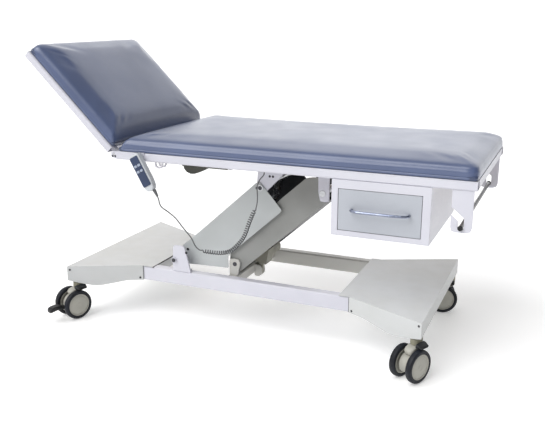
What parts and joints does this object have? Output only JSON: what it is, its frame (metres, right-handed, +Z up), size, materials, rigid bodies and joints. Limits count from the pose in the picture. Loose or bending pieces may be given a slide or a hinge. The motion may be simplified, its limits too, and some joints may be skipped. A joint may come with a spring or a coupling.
{
  "type": "medical exam table",
  "caption": "Electric exam table: padded top with raising back, parallel lift arms on a wheeled base, drawer, paper-roll bar and corded hand control.",
  "frame": {"origin": "on the floor, under the middle of the outline at rest", "axes": "+X from the head end to the foot end, +Y from the drawer side to the far side, +Z up"},
  "size_m": [1.7407, 0.8839, 1.1104],
  "materials": {
    "frame_white": "satin",
    "cover_grey": "satin",
    "arm_grey": "satin",
    "caster_grey": "satin",
    "tyre_black": "matte",
    "black_plastic": "matte",
    "steel_rod": "satin",
    "motor_olive": "satin",
    "drawer_grey": "satin",
    "chrome": "polished",
    "control_grey": "matte",
    "board_tan": "matte",
    "vinyl_blue": "satin",
    "handset_grey": "satin",
    "keypad_blue": "satin",
    "key_grey": "satin",
    "cord_grey": "satin"
  },
  "bodies": {
    "base": {"front_rail": "frame_white", "rear_rail": "frame_white", "head_cover": "cover_grey", "foot_cover": "cover_grey", "head_caster_beam": "arm_grey", "foot_caster_beam": "arm_grey", "pivot_cross_tube": "frame_white", "front_head_arm_upright": "frame_white", "rear_head_arm_upright": "frame_white", "front_foot_arm_bracket": "frame_white", "rear_foot_arm_bracket": "frame_white"},
    "upper_arm": {"upper_arm": "arm_grey"},
    "lower_arm": {"lower_arm": "arm_grey"},
    "lift_motor": {"lift_motor_housing": "black_plastic"},
    "lift_rod": {"lift_motor_rod": "steel_rod"},
    "top": {"top_frame": "frame_white", "head_arm_shaft": "steel_rod", "foot_arm_shaft": "steel_rod", "drawer_cabinet": "frame_white", "front_roll_bracket": "frame_white", "rear_roll_bracket": "frame_white", "control_box": "control_grey", "main_board": "board_tan", "main_cushion": "vinyl_blue", "back_hinge_rod": "steel_rod", "back_motor_housing": "motor_olive", "handset_body": "handset_grey", "handset_keypad": "keypad_blue", "handset_strain_relief": "control_grey", "handset_hook": "frame_white", "cord_gland": "control_grey", "cord_straight": "cord_grey", "cord_curl": "control_grey", "cord_riser": "cord_grey"},
    "back": {"back_frame": "frame_white", "back_board": "board_tan", "back_cushion": "vinyl_blue"},
    "back_rod": {"back_motor_rod": "steel_rod"},
    "drawer": {"drawer_front": "drawer_grey", "drawer_box": "drawer_grey", "drawer_handle": "chrome"},
    "roll": {"roll_bar": "chrome"},
    "back_up_button": {"back_up_button": "key_grey"},
    "back_down_button": {"back_down_button": "key_grey"},
    "lift_up_button": {"lift_up_button": "key_grey"},
    "lift_down_button": {"lift_down_button": "key_grey"},
    "head_front_caster": {"head_front_caster_fork": "caster_grey"},
    "head_front_inner_wheel": {"head_front_inner_wheel": "tyre_black"},
    "head_front_outer_wheel": {"head_front_outer_wheel": "tyre_black"},
    "head_front_pedal": {"head_front_brake_pedal": "black_plastic"},
    "head_rear_caster": {"head_rear_caster_fork": "caster_grey"},
    "head_rear_inner_wheel": {"head_rear_inner_wheel": "tyre_black"},
    "head_rear_outer_wheel": {"head_rear_outer_wheel": "tyre_black"},
    "head_rear_pedal": {"head_rear_brake_pedal": "black_plastic"},
    "foot_front_caster": {"foot_front_caster_fork": "caster_grey"},
    "foot_front_inner_wheel": {"foot_front_inner_wheel": "tyre_black"},
    "foot_front_outer_wheel": {"foot_front_outer_wheel": "tyre_black"},
    "foot_rear_caster": {"foot_rear_caster_fork": "caster_grey"},
    "foot_rear_inner_wheel": {"foot_rear_inner_wheel": "tyre_black"},
    "foot_rear_outer_wheel": {"foot_rear_outer_wheel": "tyre_black"}
  },
  "joints": [
    {"name": "lift", "type": "hinge", "parent": "base", "child": "upper_arm", "pos_m": [-0.306, 0.029, 0.261], "axis": [0, -1, 0], "range_deg": [-16.8, 16.2]},
    {"name": "top_levelling", "type": "hinge", "parent": "upper_arm", "child": "top", "pos_m": [0.05332, 0.029, 0.58227], "axis": [0, -1, 0], "range_deg": [-16.4, 17]},
    {"name": "lower_arm_swing", "type": "hinge", "parent": "base", "child": "lower_arm", "pos_m": [-0.06, 0.029, 0.261], "axis": [0, -1, 0], "range_deg": [-17, 16.4]},
    {"name": "lift_motor_tilt", "type": "hinge", "parent": "base", "child": "lift_motor", "pos_m": [-0.029, 0.029, 0.174], "axis": [0, -1, 0], "range_deg": [-18.11, 17.47]},
    {"name": "lift_motor_stroke", "type": "slide", "parent": "lift_motor", "child": "lift_rod", "axis": [0.1947, 0, 0.9809], "range_m": [-0.0849, 0.0819]},
    {"name": "back_tilt", "type": "hinge", "parent": "top", "child": "back", "pos_m": [-0.481, 0.029, 0.701], "axis": [0, 1, 0], "range_deg": [-44.3, 25.7]},
    {"name": "back_motor_stroke", "type": "slide", "parent": "top", "child": "back_rod", "axis": [-1, 0, 0], "range_m": [-0.076, 0.0443]},
    {"name": "drawer_slide", "type": "slide", "parent": "top", "child": "drawer", "axis": [0, -1, 0], "range_m": [0, 0.36]},
    {"name": "roll_bar_lift", "type": "slide", "parent": "top", "child": "roll", "axis": [0, 0, 1], "range_m": [0, 0.02]},
    {"name": "back_up_button_press", "type": "slide", "parent": "top", "child": "back_up_button", "axis": [0, 1, 0], "range_m": [0, 0.001], "stiffness_N_per_m": 500},
    {"name": "back_down_button_press", "type": "slide", "parent": "top", "child": "back_down_button", "axis": [0, 1, 0], "range_m": [0, 0.001], "stiffness_N_per_m": 500},
    {"name": "lift_up_button_press", "type": "slide", "parent": "top", "child": "lift_up_button", "axis": [0, 1, 0], "range_m": [0, 0.001], "stiffness_N_per_m": 500},
    {"name": "lift_down_button_press", "type": "slide", "parent": "top", "child": "lift_down_button", "axis": [0, 1, 0], "range_m": [0, 0.001], "stiffness_N_per_m": 500},
    {"name": "head_front_swivel", "type": "hinge", "parent": "base", "child": "head_front_caster", "pos_m": [-0.709, -0.301, 0.157], "axis": [0, 0, 1], "continuous": true},
    {"name": "head_front_inner_spin", "type": "hinge", "parent": "head_front_caster", "child": "head_front_inner_wheel", "pos_m": [-0.75243, -0.31646, 0.06], "axis": [0.9336, -0.3584, 0], "continuous": true},
    {"name": "head_front_outer_spin", "type": "hinge", "parent": "head_front_caster", "child": "head_front_outer_wheel", "pos_m": [-0.68708, -0.34155, 0.06], "axis": [0.9336, -0.3584, 0], "continuous": true},
    {"name": "head_front_brake", "type": "hinge", "parent": "head_front_caster", "child": "head_front_pedal", "pos_m": [-0.71975, -0.32901, 0.06], "axis": [0.9336, -0.3584, 0], "range_deg": [0, 12]},
    {"name": "head_rear_swivel", "type": "hinge", "parent": "base", "child": "head_rear_caster", "pos_m": [-0.709, 0.359, 0.157], "axis": [0, 0, 1], "continuous": true},
    {"name": "head_rear_inner_spin", "type": "hinge", "parent": "head_rear_caster", "child": "head_rear_inner_wheel", "pos_m": [-0.71748, 0.40431, 0.06], "axis": [-0.5, -0.866, 0], "continuous": true},
    {"name": "head_rear_outer_spin", "type": "hinge", "parent": "head_rear_caster", "child": "head_rear_outer_wheel", "pos_m": [-0.75248, 0.34369, 0.06], "axis": [-0.5, -0.866, 0], "continuous": true},
    {"name": "head_rear_brake", "type": "hinge", "parent": "head_rear_caster", "child": "head_rear_pedal", "pos_m": [-0.73498, 0.374, 0.06], "axis": [-0.5, -0.866, 0], "range_deg": [0, 12]},
    {"name": "foot_front_swivel", "type": "hinge", "parent": "base", "child": "foot_front_caster", "pos_m": [0.702, -0.301, 0.157], "axis": [0, 0, 1], "continuous": true},
    {"name": "foot_front_inner_spin", "type": "hinge", "parent": "foot_front_caster", "child": "foot_front_inner_wheel", "pos_m": [0.65749, -0.31301, 0.06], "axis": [0.9026, -0.4305, 0], "continuous": true},
    {"name": "foot_front_outer_spin", "type": "hinge", "parent": "foot_front_caster", "child": "foot_front_outer_wheel", "pos_m": [0.72067, -0.34314, 0.06], "axis": [0.9026, -0.4305, 0], "continuous": true},
    {"name": "foot_rear_swivel", "type": "hinge", "parent": "base", "child": "foot_rear_caster", "pos_m": [0.702, 0.359, 0.157], "axis": [0, 0, 1], "continuous": true},
    {"name": "foot_rear_inner_spin", "type": "hinge", "parent": "foot_rear_caster", "child": "foot_rear_inner_wheel", "pos_m": [0.66286, 0.38336, 0.06], "axis": [0.3007, -0.9537, 0], "continuous": true},
    {"name": "foot_rear_outer_spin", "type": "hinge", "parent": "foot_rear_caster", "child": "foot_rear_outer_wheel", "pos_m": [0.68391, 0.3166, 0.06], "axis": [0.3007, -0.9537, 0], "continuous": true}
  ],
  "couplings": [
    {"joint": "top_levelling", "follows": "lift", "ratio": -1},
    {"joint": "lower_arm_swing", "follows": "lift", "ratio": 1},
    {"joint": "lift_motor_tilt", "follows": "lift", "ratio": 1.06},
    {"joint": "lift_motor_stroke", "follows": "lift", "m_per_rad": 0.2868},
    {"joint": "back_motor_stroke", "follows": "back_tilt", "m_per_rad": 0.0975}
  ]
}
